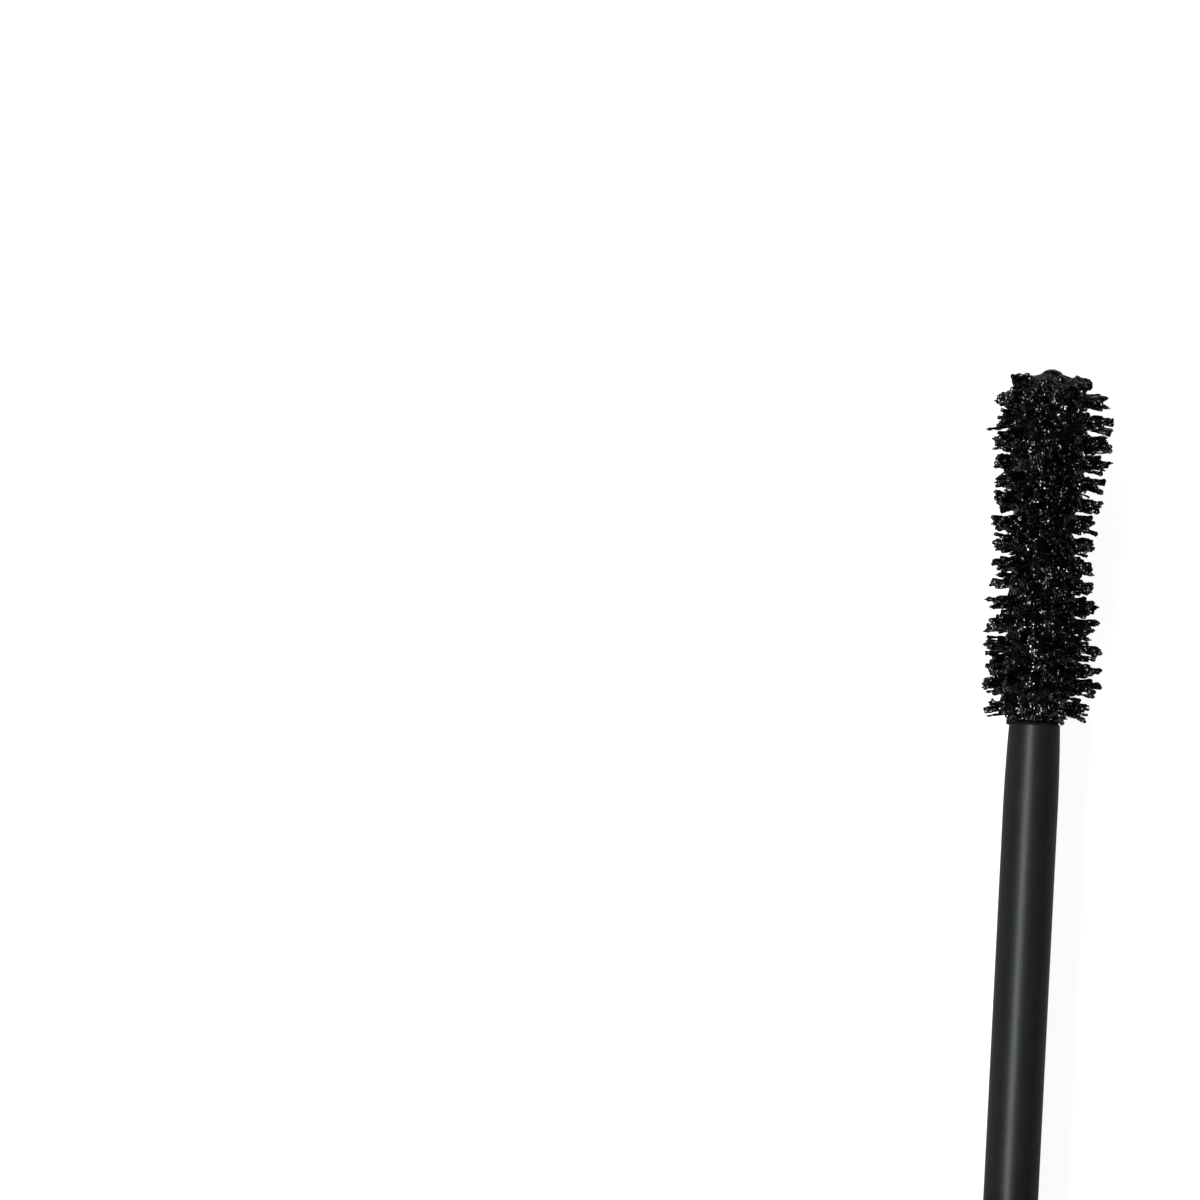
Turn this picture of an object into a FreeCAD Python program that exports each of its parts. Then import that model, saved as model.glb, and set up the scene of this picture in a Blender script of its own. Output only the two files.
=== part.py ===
"""An opened mascara, laid down: a soft-square tube on its side, with its applicator drawn out in line.

Lengths are millimetres. Every piece is first built closed and upright, with the tube's base at height 0,
the common axis on Z and the cap on top. Then it is laid along Y: the tube's mouth faces -Y, and the
applicator, unscrewed and drawn out, lies further along -Y with its brush pointing back at the mouth.
"""

import FreeCAD, Part
import math
import os

# Outside of the tube and the cap: a square with round corners
BODY_WIDTH = 17.0
CORNER_RADIUS = 5.5
SHELL_WALL = 1.0
CLOSED_LENGTH = 126.0
SEAM_ROUNDING = 0.12
MOUTH_ROUNDING = 0.3
END_ROUNDING = 1.2

# Tube, in heights above its base
BASE_FLANGE = 1.2
BASE_SPIGOT_TOP = 4.4
BASE_ROUNDING = 0.7
LABEL_RADIUS = 5.9
LABEL_MARGIN = 0.2
LABEL_THICKNESS = 0.16
LABEL_RECESS = 0.3
VIAL_BOTTOM = 2.4
VIAL_FLOOR = 3.6
VIAL_RADIUS = 6.9
VIAL_FOOT_CHAMFER = 0.5
VIAL_SHOULDER_CHAMFER = 0.5
VIAL_BORE = 5.9
VIAL_BORE_CHAMFER = 0.8
VIAL_THROAT_DEPTH = 1.0
VIAL_SHOULDER_DEPTH = 4.0
VIAL_CLEARANCE = 0.1
SLEEVE_TOP = 70.0
COLLAR_TOP = 71.6
COLLAR_SPIGOT = 3.5
RUNNING_GAP = 0.05

# Neck and its screw thread
NECK_TOP = 84.0
NECK_RADIUS = 5.6
NECK_BORE = 4.0
NECK_CHAMFER = 0.2
LAND_RADIUS = 6.4
LAND_TOP = 73.4
LAND_CHAMFER = 0.3
THREAD_PITCH = 2.12
THREAD_TURNS = 1.25
NECK_THREAD_START = 80.25
NECK_THREAD_CREST = 6.4
CAP_THREAD_CREST = 5.8
CAP_THREAD_BORE = 6.55
CAP_THREAD_LEAD_DEG = -60.0
RIDGE_BASE_HALF = 0.60
RIDGE_CREST_HALF = 0.30
RIDGE_ROOTING = 0.15
CLOSING_TURNS = 1.5

# Wiper in the neck
WIPER_FLANGE_TOP = 84.8
WIPER_FLANGE_RADIUS = 5.2
WIPER_EDGE_CHAMFER = 0.2
WIPER_BARREL_BORE = 3.3
WIPER_LEAD_IN = (0.3, 0.6)
WIPER_CONE_TOP = 77.5
WIPER_LIP_TOP = 71.5
WIPER_LIP_BOTTOM = 70.5
WIPER_LIP_WALL = 0.55

# Mascara left in the vial, with the channel that the brush leaves in it
FILL_TOP = 56.0
FILL_CHANNEL = 3.0
FILL_MENISCUS = 1.4

# Brush, in distances from its tip
BRUSH_TIP = 5.2
BRUSH_LENGTH = 26.9
LOBE_RADIUS = 4.95
WAIST_RADIUS = 3.92
FIRST_LOBE = 5.0
SECOND_LOBE = 23.1
TIP_ROUNDING = 2.6
BASE_BLUNTNESS = 0.78
WIRE_RADIUS = 0.34
WIRE_OFFSET = 0.31
WIRE_TWIST = 3.12
WIRE_FOLD = 0.7
WIRE_FOLD_RADIUS = 0.62
WIRE_TAIL = 9.5
FIBRE_RADIUS = 0.05
FIRST_FIBRE = 0.9
LAST_FIBRE = 26.6
FIBRE_SPACING = 0.122
FIBRE_JITTER_DEG = 11.0
FIBRE_TRIM = 0.35
LOAD_SHARE = 0.62
LOAD_SPANS = 14

# Stem
STEM_RADIUS = 2.1
STEM_END_RADIUS = 1.95
STEM_END_CHAMFER = 0.25
STEM_TAPER = 8.4
STEM_SOCKET_RADIUS = 0.69
STEM_SOCKET_DEPTH = 9.8
STEM_ROOT_RADIUS = 2.4
STEM_BEAD_RADIUS = 2.8
STEM_BEAD = (79.8, 80.3, 81.2)
STEM_FLANGE_RADIUS = 3.6
STEM_FLANGE_TOP = 90.4

# Cap
CAP_MOUTH = 71.7
SKIRT_RADIUS = 7.35
SKIRT_BOTTOM = 72.0
CAP_SEAT = 86.0
CAP_WEB_TOP = 89.0
WEIGHT_POCKET_RADIUS = 5.1
WEIGHT_RADIUS = 5.0
WEIGHT_BOTTOM = 90.7
WEIGHT_LENGTH = 12.0
WEIGHT_ROUNDING = 0.4
RETAINER_THICKNESS = 1.6
INNER_CAP_TOP = 104.6
CAP_END_WALL = 1.6
END_DISC_INSET = 2.4
END_DISC_DEPTH = 0.6
WASHER_THICKNESS = 1.15
WASHER_BORE = 2.5
WASHER_RADIUS = 5.5
WASHER_GAP = 0.03

# How far the applicator lies from the tube: the brush's tip clears the wiper by DRAWN_GAP
DRAWN_GAP = 32.0
ADVANCE = CLOSING_TURNS * THREAD_PITCH
DRAW = WIPER_FLANGE_TOP + DRAWN_GAP - BRUSH_TIP - ADVANCE
AXIS_HEIGHT = BODY_WIDTH / 2
OPEN_LENGTH = CLOSED_LENGTH + DRAW + ADVANCE

UP = FreeCAD.Vector(0, 0, 1)
ORIGIN = FreeCAD.Vector(0, 0, 0)


def point(x, y, z):
    return FreeCAD.Vector(x, y, z)


def disc(radius, bottom, top):
    """A plain cylinder on the axis."""
    return Part.makeCylinder(radius, top - bottom, point(0, 0, bottom))


def turned(outline):
    """A solid of revolution about the axis, from (radius, height) corners."""
    corners = [point(radius, 0, height) for radius, height in outline]
    wire = Part.makePolygon(corners + corners[:1])
    return Part.Face(wire).revolve(ORIGIN, UP, 360)


def soft_square(width, corner, bottom, top):
    """A square bar with round corners on the axis."""
    half, flat = width / 2, width / 2 - corner
    diagonal = flat + corner * math.sqrt(0.5)
    edges = []
    for quarter in range(4):
        side = Part.LineSegment(point(half, -flat, bottom), point(half, flat, bottom)).toShape()
        bend = Part.Arc(
            point(half, flat, bottom), point(diagonal, diagonal, bottom), point(flat, half, bottom)
        ).toShape()
        for edge in (side, bend):
            edge.rotate(ORIGIN, UP, 90 * quarter)
            edges.append(edge)
    face = Part.Face(Part.Wire(Part.__sortEdges__(edges)))
    return face.extrude(point(0, 0, top - bottom))


def inner_square(bottom, top):
    """The bar that just fills the shells' inside."""
    return soft_square(BODY_WIDTH - 2 * SHELL_WALL, CORNER_RADIUS - SHELL_WALL, bottom, top)


def outer_square(bottom, top):
    return soft_square(BODY_WIDTH, CORNER_RADIUS, bottom, top)


def rounded(shape, height, radius):
    """The shape with every edge that lies at one height rounded over."""
    boxes = [(edge, edge.BoundBox) for edge in shape.Edges]
    level = [edge for edge, box in boxes if max(abs(box.ZMin - height), abs(box.ZMax - height)) < 1e-6]
    return shape.makeFillet(radius, level)


def thread_ridge(root, crest, start_height, start_deg, turns):
    """A right-handed trapezoid ridge wound round the axis, from inside root to crest."""
    outward = 1 if crest > root else -1
    foot = root - outward * RIDGE_ROOTING
    profile = Part.makePolygon(
        [
            point(foot, 0, -RIDGE_BASE_HALF),
            point(crest, 0, -RIDGE_CREST_HALF),
            point(crest, 0, RIDGE_CREST_HALF),
            point(foot, 0, RIDGE_BASE_HALF),
            point(foot, 0, -RIDGE_BASE_HALF),
        ]
    )
    spine = Part.Wire(Part.makeHelix(THREAD_PITCH, THREAD_PITCH * turns, root).Edges)
    ridge = spine.makePipeShell([profile], True, True)
    ridge.rotate(ORIGIN, UP, start_deg)
    ridge.translate(point(0, 0, start_height))
    return ridge


# The tube


def outer_sleeve():
    bar = rounded(outer_square(BASE_FLANGE, SLEEVE_TOP), BASE_FLANGE, SEAM_ROUNDING)
    return rounded(bar, SLEEVE_TOP, SEAM_ROUNDING).cut(inner_square(BASE_FLANGE, SLEEVE_TOP))


def base_plug():
    """Closes the sleeve, and cups the vial's foot; its underside has a shallow recess for the label."""
    flange = rounded(outer_square(0, BASE_FLANGE), 0, BASE_ROUNDING)
    flange = rounded(flange, BASE_FLANGE, SEAM_ROUNDING)
    cup = disc(VIAL_RADIUS + RUNNING_GAP, VIAL_BOTTOM, BASE_SPIGOT_TOP)
    recess = disc(LABEL_RADIUS + LABEL_MARGIN, 0, LABEL_RECESS)
    return flange.fuse(inner_square(BASE_FLANGE, BASE_SPIGOT_TOP)).cut(cup).cut(recess)


def base_label():
    return disc(LABEL_RADIUS, LABEL_RECESS - LABEL_THICKNESS, LABEL_RECESS)


def vial():
    """The round bottle inside the sleeve, with a plain land and a screw thread on its neck."""
    shoulder = SLEEVE_TOP - VIAL_CLEARANCE
    wall = turned(
        [
            (0, VIAL_BOTTOM),
            (VIAL_RADIUS - VIAL_FOOT_CHAMFER, VIAL_BOTTOM),
            (VIAL_RADIUS, VIAL_BOTTOM + VIAL_FOOT_CHAMFER),
            (VIAL_RADIUS, shoulder - VIAL_SHOULDER_CHAMFER),
            (LAND_RADIUS, shoulder),
            (LAND_RADIUS, LAND_TOP - LAND_CHAMFER),
            (LAND_RADIUS - LAND_CHAMFER, LAND_TOP),
            (NECK_RADIUS, LAND_TOP),
            (NECK_RADIUS, NECK_TOP - NECK_CHAMFER),
            (NECK_RADIUS - NECK_CHAMFER, NECK_TOP),
            (NECK_BORE, NECK_TOP),
            (NECK_BORE, SLEEVE_TOP - VIAL_THROAT_DEPTH),
            (VIAL_BORE, SLEEVE_TOP - VIAL_SHOULDER_DEPTH),
            (VIAL_BORE, VIAL_FLOOR + VIAL_BORE_CHAMFER),
            (VIAL_BORE - VIAL_BORE_CHAMFER, VIAL_FLOOR),
            (0, VIAL_FLOOR),
        ]
    )
    thread = thread_ridge(NECK_RADIUS, NECK_THREAD_CREST, NECK_THREAD_START, 0, THREAD_TURNS)
    return wall.fuse(thread)


def shoulder_collar():
    """The metal ring that caps the sleeve and holds the vial down by its shoulder."""
    ring = rounded(outer_square(SLEEVE_TOP, COLLAR_TOP), SLEEVE_TOP, SEAM_ROUNDING)
    ring = rounded(ring, COLLAR_TOP, MOUTH_ROUNDING)
    spigot = inner_square(SLEEVE_TOP - COLLAR_SPIGOT, SLEEVE_TOP)
    around_vial = disc(VIAL_RADIUS + RUNNING_GAP, SLEEVE_TOP - COLLAR_SPIGOT, SLEEVE_TOP)
    around_neck = disc(LAND_RADIUS + RUNNING_GAP, SLEEVE_TOP, COLLAR_TOP)
    return ring.fuse(spigot).cut(around_vial).cut(around_neck)


def wiper():
    """The flanged insert pushed into the neck; its thin lip strips the stem as it is drawn."""
    orifice = STEM_RADIUS + RUNNING_GAP
    lead_width, lead_depth = WIPER_LEAD_IN
    return turned(
        [
            (WIPER_FLANGE_RADIUS, NECK_TOP),
            (WIPER_FLANGE_RADIUS, WIPER_FLANGE_TOP - WIPER_EDGE_CHAMFER),
            (WIPER_FLANGE_RADIUS - WIPER_EDGE_CHAMFER, WIPER_FLANGE_TOP),
            (WIPER_BARREL_BORE + lead_width, WIPER_FLANGE_TOP),
            (WIPER_BARREL_BORE, WIPER_FLANGE_TOP - lead_depth),
            (WIPER_BARREL_BORE, WIPER_CONE_TOP),
            (orifice, WIPER_LIP_TOP),
            (orifice, WIPER_LIP_BOTTOM),
            (orifice + WIPER_LIP_WALL, WIPER_LIP_BOTTOM),
            (orifice + WIPER_LIP_WALL, WIPER_LIP_TOP),
            (NECK_BORE - 0.05, WIPER_CONE_TOP - 0.8),
            (NECK_BORE, WIPER_CONE_TOP),
            (NECK_BORE, NECK_TOP),
        ]
    )


def mascara_fill():
    """The paste that clings to the vial's wall, with the open channel that the brush has left in it."""
    return turned(
        [
            (FILL_CHANNEL, VIAL_FLOOR),
            (VIAL_BORE - VIAL_BORE_CHAMFER, VIAL_FLOOR),
            (VIAL_BORE, VIAL_FLOOR + VIAL_BORE_CHAMFER),
            (VIAL_BORE, FILL_TOP + FILL_MENISCUS),
            (VIAL_BORE - 0.7, FILL_TOP + 0.4),
            (FILL_CHANNEL + 0.6, FILL_TOP),
            (FILL_CHANNEL, FILL_TOP - 0.6),
        ]
    )


# The applicator


def brush_radius(from_tip):
    """Trimmed hourglass outline of the bristles: two lobes, a waist, a round tip and a blunter base."""
    swing = math.cos(2 * math.pi * (from_tip - FIRST_LOBE) / (SECOND_LOBE - FIRST_LOBE))
    radius = WAIST_RADIUS + (LOBE_RADIUS - WAIST_RADIUS) * (1 + swing) / 2
    if from_tip < TIP_ROUNDING:
        radius *= math.sqrt(1 - (1 - from_tip / TIP_ROUNDING) ** 2)
    from_base = BRUSH_LENGTH - from_tip
    if from_base < TIP_ROUNDING:
        radius *= BASE_BLUNTNESS + (1 - BASE_BLUNTNESS) * from_base / TIP_ROUNDING
    return radius


def wire_lobe(height, side):
    """One leg's arc of the twisted pair's section, on one side of the pinch between the two legs."""
    pinch = math.sqrt(WIRE_RADIUS**2 - WIRE_OFFSET**2)
    return Part.Arc(
        point(0, -pinch, height),
        point(side * (WIRE_OFFSET + WIRE_RADIUS), 0, height),
        point(0, pinch, height),
    ).toShape()


def twisted_wire():
    """One hairpin of steel wire, its two legs twisted together over the bristles, folded at the tip."""
    bottom, top = BRUSH_TIP + WIRE_FOLD, BRUSH_TIP + BRUSH_LENGTH + WIRE_TAIL
    spine = Part.Wire(Part.LineSegment(point(0, 0, bottom), point(0, 0, top)).toShape())
    helix = Part.makeHelix(WIRE_TWIST, top - bottom, 1.0)
    helix.translate(point(0, 0, bottom))
    section = Part.Wire([wire_lobe(bottom, 1), wire_lobe(bottom, -1)])
    sweep = Part.BRepOffsetAPI.MakePipeShell(spine)
    sweep.setAuxiliarySpine(Part.Wire(helix.Edges), True, 0)
    sweep.add(section)
    sweep.build()
    sweep.makeSolid()
    fold = Part.makeSphere(WIRE_FOLD_RADIUS, point(0, 0, bottom))
    return sweep.shape().fuse(fold)


def fibre(number, from_tip):
    """One nylon fibre, pinched between the wire's legs; heading and length vary from fibre to fibre."""
    wander = FIBRE_JITTER_DEG * math.sin(12.9898 * number)
    trim = FIBRE_TRIM * math.sin(78.233 * number) ** 2
    reach = max(0.8, brush_radius(from_tip) - trim)
    heading = math.radians(90 + 360 * (from_tip - WIRE_FOLD) / WIRE_TWIST + wander)
    along = point(math.cos(heading), math.sin(heading), 0)
    middle = point(0, 0, BRUSH_TIP + from_tip)
    return Part.makeCylinder(FIBRE_RADIUS, 2 * reach, middle - along * reach, along)


def bristles():
    count = int((LAST_FIBRE - FIRST_FIBRE) / FIBRE_SPACING)
    return Part.makeCompound([fibre(n, FIRST_FIBRE + n * FIBRE_SPACING) for n in range(count)])


def mascara_load():
    """The paste that the brush carries round its wire, as one plain solid inside the bristles."""
    first, last = 0.15, BRUSH_LENGTH - 0.15
    heights = [first + (last - first) * n / LOAD_SPANS for n in range(LOAD_SPANS + 1)]
    side = [point(LOAD_SHARE * brush_radius(d) + 0.1, 0, BRUSH_TIP + d) for d in heights]
    curve = Part.BSplineCurve()
    curve.interpolate(side)
    low, high = point(0, 0, side[0].z), point(0, 0, side[-1].z)
    outline = Part.Wire(
        [
            Part.LineSegment(low, side[0]).toShape(),
            curve.toShape(),
            Part.LineSegment(side[-1], high).toShape(),
            Part.LineSegment(high, low).toShape(),
        ]
    )
    return Part.Face(outline).revolve(ORIGIN, UP, 360)


def stem():
    """The moulded rod: a gentle taper at the brush, and a bead, a root and a flange inside the cap."""
    end = BRUSH_TIP + BRUSH_LENGTH
    bead_start, bead_low, bead_high = STEM_BEAD
    taper = Part.Arc(
        point(STEM_END_RADIUS, 0, end + STEM_END_CHAMFER),
        point(STEM_RADIUS - 0.03, 0, end + 0.45 * STEM_TAPER),
        point(STEM_RADIUS, 0, end + STEM_TAPER),
    ).toShape()
    corners = [
        (STEM_RADIUS, end + STEM_TAPER),
        (STEM_RADIUS, bead_start),
        (STEM_BEAD_RADIUS, bead_low),
        (STEM_BEAD_RADIUS, bead_high),
        (STEM_ROOT_RADIUS, bead_high),
        (STEM_ROOT_RADIUS, CAP_WEB_TOP),
        (STEM_FLANGE_RADIUS, CAP_WEB_TOP),
        (STEM_FLANGE_RADIUS, STEM_FLANGE_TOP),
        (0, STEM_FLANGE_TOP),
        (0, end + STEM_SOCKET_DEPTH),
        (STEM_SOCKET_RADIUS, end + STEM_SOCKET_DEPTH),
        (STEM_SOCKET_RADIUS, end),
        (STEM_END_RADIUS - STEM_END_CHAMFER, end),
        (STEM_END_RADIUS, end + STEM_END_CHAMFER),
    ]
    points = [point(radius, 0, height) for radius, height in corners]
    lines = [Part.LineSegment(a, b).toShape() for a, b in zip(points, points[1:])]
    return Part.Face(Part.Wire([taper] + lines)).revolve(ORIGIN, UP, 360)


def seal_washer():
    """A loose foam ring on the stem's root: the neck's rim pushes it up to its seat as the cap closes."""
    bottom = WIPER_FLANGE_TOP + WASHER_GAP
    ring = disc(WASHER_RADIUS, bottom, bottom + WASHER_THICKNESS)
    return ring.cut(disc(WASHER_BORE, bottom, bottom + WASHER_THICKNESS))


def inner_cap():
    """The threaded liner: a skirt for the neck, a web that holds the stem, and a pocket for the weight."""
    skirt = disc(SKIRT_RADIUS, SKIRT_BOTTOM, CAP_SEAT).cut(disc(CAP_THREAD_BORE, SKIRT_BOTTOM, CAP_SEAT))
    skirt = rounded(skirt, SKIRT_BOTTOM, MOUTH_ROUNDING)
    ridge_start = NECK_THREAD_START + THREAD_PITCH * (0.5 + CAP_THREAD_LEAD_DEG / 360)
    thread = thread_ridge(CAP_THREAD_BORE, CAP_THREAD_CREST, ridge_start, CAP_THREAD_LEAD_DEG, THREAD_TURNS)
    block = inner_square(CAP_SEAT, INNER_CAP_TOP)
    through = disc(STEM_ROOT_RADIUS, CAP_SEAT, CAP_WEB_TOP)
    pocket = disc(WEIGHT_POCKET_RADIUS, CAP_WEB_TOP, INNER_CAP_TOP)
    return skirt.fuse(block.cut(through).cut(pocket)).fuse(thread)


def cap_weight():
    """A round steel slug, a loose fit in its pocket, that gives the cap its heft."""
    slug = disc(WEIGHT_RADIUS, WEIGHT_BOTTOM, WEIGHT_BOTTOM + WEIGHT_LENGTH)
    slug = rounded(slug, WEIGHT_BOTTOM, WEIGHT_ROUNDING)
    return rounded(slug, WEIGHT_BOTTOM + WEIGHT_LENGTH, WEIGHT_ROUNDING)


def weight_retainer():
    """The plug pressed into the pocket over the slug."""
    return disc(WEIGHT_POCKET_RADIUS, INNER_CAP_TOP - RETAINER_THICKNESS, INNER_CAP_TOP)


def end_disc_outline(bottom, top, fit=0.0):
    width = BODY_WIDTH - 2 * END_DISC_INSET - 2 * fit
    return soft_square(width, CORNER_RADIUS - END_DISC_INSET - fit, bottom, top)


def cap_shell():
    """The cap's square outer shell, closed at its end, with a shallow recess for the end disc."""
    shell = rounded(outer_square(CAP_MOUTH, CLOSED_LENGTH), CLOSED_LENGTH, END_ROUNDING)
    shell = shell.cut(inner_square(CAP_MOUTH, CLOSED_LENGTH - CAP_END_WALL))
    shell = rounded(shell, CAP_MOUTH, MOUTH_ROUNDING)
    return shell.cut(end_disc_outline(CLOSED_LENGTH - END_DISC_DEPTH, CLOSED_LENGTH))


def cap_end_disc():
    return end_disc_outline(CLOSED_LENGTH - END_DISC_DEPTH, CLOSED_LENGTH - 0.1, 0.05)


# Laying the pieces down

TUBE = [outer_sleeve, base_plug, base_label, vial, shoulder_collar, wiper, mascara_fill]
APPLICATOR = [
    twisted_wire,
    bristles,
    mascara_load,
    stem,
    inner_cap,
    weight_retainer,
    cap_shell,
    cap_end_disc,
]


def laid(shape, drawn, turns=0.0):
    """Unscrews an upright piece, lifts it by drawn, and lays it along Y with its base end towards +Y."""
    shape.rotate(ORIGIN, UP, 360 * turns)
    shape.translate(point(0, 0, drawn))
    shape.rotate(ORIGIN, point(1, 0, 0), 90)
    shape.translate(point(0, OPEN_LENGTH / 2, AXIS_HEIGHT))
    return shape


def export(make, drawn, turns=0.0):
    shape = laid(make(), drawn, turns)
    if not shape.isValid():
        raise ValueError(f"{make.__name__} is not a valid shape")
    shape.exportStep(f"parts/{make.__name__}.step")


def main():
    os.makedirs("parts", exist_ok=True)
    for make in TUBE:
        export(make, 0)
    for make in APPLICATOR:
        export(make, DRAW + ADVANCE, CLOSING_TURNS)
    export(seal_washer, DRAW)
    export(cap_weight, DRAW + ADVANCE)
    print(f"draw {DRAW:.3f} advance {ADVANCE:.3f} open length {OPEN_LENGTH:.3f}")


main()
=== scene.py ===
"""The looks of an opened mascara: the paste-loaded brush, and the finishes of the cap, the stem and the tube.

Lengths in the named values are millimetres, except those whose names end in _M, and become metres through MM. The
common axis runs along Y, AXIS_Z above the floor. A place on the brush is its distance from the tip, its angle round
the axis and its distance from the axis. Colours are linear. A pair of numbers under one name is a range.
"""

import math
import random

import bmesh
import bpy
import numpy as np
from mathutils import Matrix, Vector


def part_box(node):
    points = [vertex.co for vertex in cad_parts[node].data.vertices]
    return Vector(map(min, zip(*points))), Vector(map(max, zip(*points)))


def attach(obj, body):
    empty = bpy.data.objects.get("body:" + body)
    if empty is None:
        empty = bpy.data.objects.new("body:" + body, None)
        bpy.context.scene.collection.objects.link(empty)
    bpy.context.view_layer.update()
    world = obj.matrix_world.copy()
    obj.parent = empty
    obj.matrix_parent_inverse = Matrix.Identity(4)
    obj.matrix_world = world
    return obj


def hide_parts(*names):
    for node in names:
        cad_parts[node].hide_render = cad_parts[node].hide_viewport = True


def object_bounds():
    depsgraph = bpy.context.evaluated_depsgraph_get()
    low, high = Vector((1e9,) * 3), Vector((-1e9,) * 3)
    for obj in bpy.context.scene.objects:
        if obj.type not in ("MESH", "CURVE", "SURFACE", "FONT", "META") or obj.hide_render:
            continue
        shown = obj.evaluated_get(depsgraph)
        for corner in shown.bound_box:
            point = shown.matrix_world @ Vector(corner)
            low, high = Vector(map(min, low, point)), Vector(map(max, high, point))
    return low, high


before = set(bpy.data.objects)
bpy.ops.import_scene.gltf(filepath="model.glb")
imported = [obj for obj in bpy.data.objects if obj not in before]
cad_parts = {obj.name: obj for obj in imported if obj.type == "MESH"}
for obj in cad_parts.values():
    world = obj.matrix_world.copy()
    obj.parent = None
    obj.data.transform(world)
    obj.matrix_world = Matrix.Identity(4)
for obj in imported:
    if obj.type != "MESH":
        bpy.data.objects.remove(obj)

CAD_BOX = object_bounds()
MM = 0.001
FULL_TURN = 2 * math.pi
SEED = 7

# The view: straight down on the brush, rolled a little, with the brush to the right of the middle
VIEW_WIDTH = 91.5
VIEW_ROLL_DEG = 2.88
VIEW_HEIGHT = 800.0
TIP_RIGHT_OF_MIDDLE = 34.5
TIP_ABOVE_MIDDLE = 17.6
SENSOR = 36.0
CLIP_RANGE_M = (0.01, 100)

# The brush's outline: two lobes with a waist between them, cut down at the tip and at the stem. A cut is the share
# of the reach left at the end row and what it gains for each millimetre away from it.
BRUSH_LENGTH = 26.9
LOBE_RADIUS = 4.95
WAIST_RADIUS = 3.95
FIRST_LOBE = 5.0
SECOND_LOBE = 23.1
TIP_CUT, TIP_CUT_GAIN = 0.69, 0.16
STEM_CUT, STEM_CUT_GAIN = 0.76, 0.10
# The tufts on the -X side are pressed no further out than this
PRESSED_REACH = 4.05
PRESSED_FROM_COS = 0.5

# The two winding rows of tufts. Their lean differs within STEM_SPAN of the stem and TIP_SPAN of the tip.
TWIST_PITCH = 3.12
TUFTS_PER_TURN = 19
ROWS = 2
FIRST_ROW = 0.74
LAST_ROW_INSET = 0.60
ROW_THICKNESS = 0.88
STEM_SPAN = 3.5
TIP_SPAN = 2.5
LEAN, LEAN_AT_STEM, LEAN_AT_TIP = 0.18, -0.10, 0.25

# The tubes and balls that the paste and the fibres are gathered from. The ends' poles, the balls' measures and every
# ROUGH are shares of the radius. NEVER_ALONG is a direction that no tube takes.
TUBE_SIDES = 7
POLE = 0.5
NEVER_ALONG = (0.31, 0.17, 0.93)
BALL_RINGS = 5
BALL_HALF_LENGTH = 0.8
BALL_END = 0.85
BALL_ROUGH = 0.12

# One tuft: a webbed trunk that forks into strands. It is squeezed in the first rows at the tip, and it fans out
# along the axis from FAN_AT_ROOT by FAN_GAIN.
TUFT_ROOT = 1.0
ANGLE_JITTER_DEG = 6
REACH_JITTER = 0.13
LEAN_JITTER = 0.14
BEND_JITTER_DEG = 5
THICKNESS_SPREAD = (0.75, 1.2)
STEM_WIDENING = 0.75
TRUNK_RADIUS = (0.28, 0.38)
TRUNK_SLIMMING = 0.35
FORK_FROM = 2.5
FORK_EARLIER_AT_STEM = 0.6
FORK_SPREAD = (-0.2, 0.6)
PRONG_MIN = 0.5
TRUNK_RINGS = 4
TRUNK_ROUGH = 0.15
SQUEEZE_AT_TIP, SQUEEZE_GAIN = 0.10, 0.5
SLIM_MIN = 0.5
SPAN_MIN = 0.5
LEAN_CURVE = 1.5
FAN_AT_ROOT, FAN_GAIN = 0.3, 0.8

# The strands of a tuft
STRAND_COUNTS = (2, 2, 3, 3, 4)
STRAND_RADIUS = (0.13, 0.18)
STRAND_SLIMMING = 0.25
STRAND_TAPER = (1.5, 1.35, 1.2, 1.05, 0.95, 0.92, 1.05, 1.2)
STRAND_UNEVEN = (0.85, 1.15)
STRAND_ROUGH = 0.14
STRAND_PLACE = (0.1, 0.9)
STRAND_ASIDE = 0.20
STRAND_FROM_ROOT = 0.8
STRAND_MIN = 0.3
SHORTFALL_MEAN, SHORTFALL_SPREAD = 0.25, 0.35
HEAVY_ROWS, HEAVIER = 0.4, 1.5
CLOT_CHANCE = 0.5
CLOT_RADIUS = (0.10, 0.15)
CLOT_OFFSET = 0.1

# The bare fibres that show past the paste. A WIDTH is a share of FIBRE_RADIUS.
FIBRE_RADIUS = 0.055
FIBRE_SIDES = 6
BARE_CHANCE = 0.35
BARE_BURIED = 0.6
BARE_LENGTH = (0.10, 0.22)
BARE_LIMIT = LOBE_RADIUS + 0.02
BARE_WIDTH = (1.0, 1.4)
BARE_RINGS = 4
STRAY_CHANCE = 0.10
STRAY_DRIFT = (0.3, 0.8)
STRAY_BURIED = 0.8
STRAY_SHORTFALL = (0.0, 0.4)
STRAY_CURL = 0.75 * math.pi
STRAY_WIDTH = (1.3, 1.8)
STRAY_RINGS = 8

# The core of paste round the wire, with a dome at the tip and a collar against the stem. A wave is its height, its
# count round the axis, its drift in radians for each millimetre from the tip, and its start in radians.
CORE_SHARE, CORE_EXTRA = 0.50, 0.25
CORE_MIN = 0.05
CORE_WAVES = ((0.20, 3, 1.9, 0.0), (0.14, 5, -3.1, 1.0))
ROW_RIDGE = 0.16
DOME_RADIUS = 0.8
DOME_HEIGHT = 0.5
SHOULDER_FROM = 0.6 * DOME_HEIGHT
SHOULDER_SPAN = 0.55
COLLAR_SPAN = 1.0
COLLAR_RISE = 0.12
COLLAR_WAVES = ((0.10, 4, 0.0, 1.0), (0.07, 9, 0.0, 0.0))
STEM_END = 1.95

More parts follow.
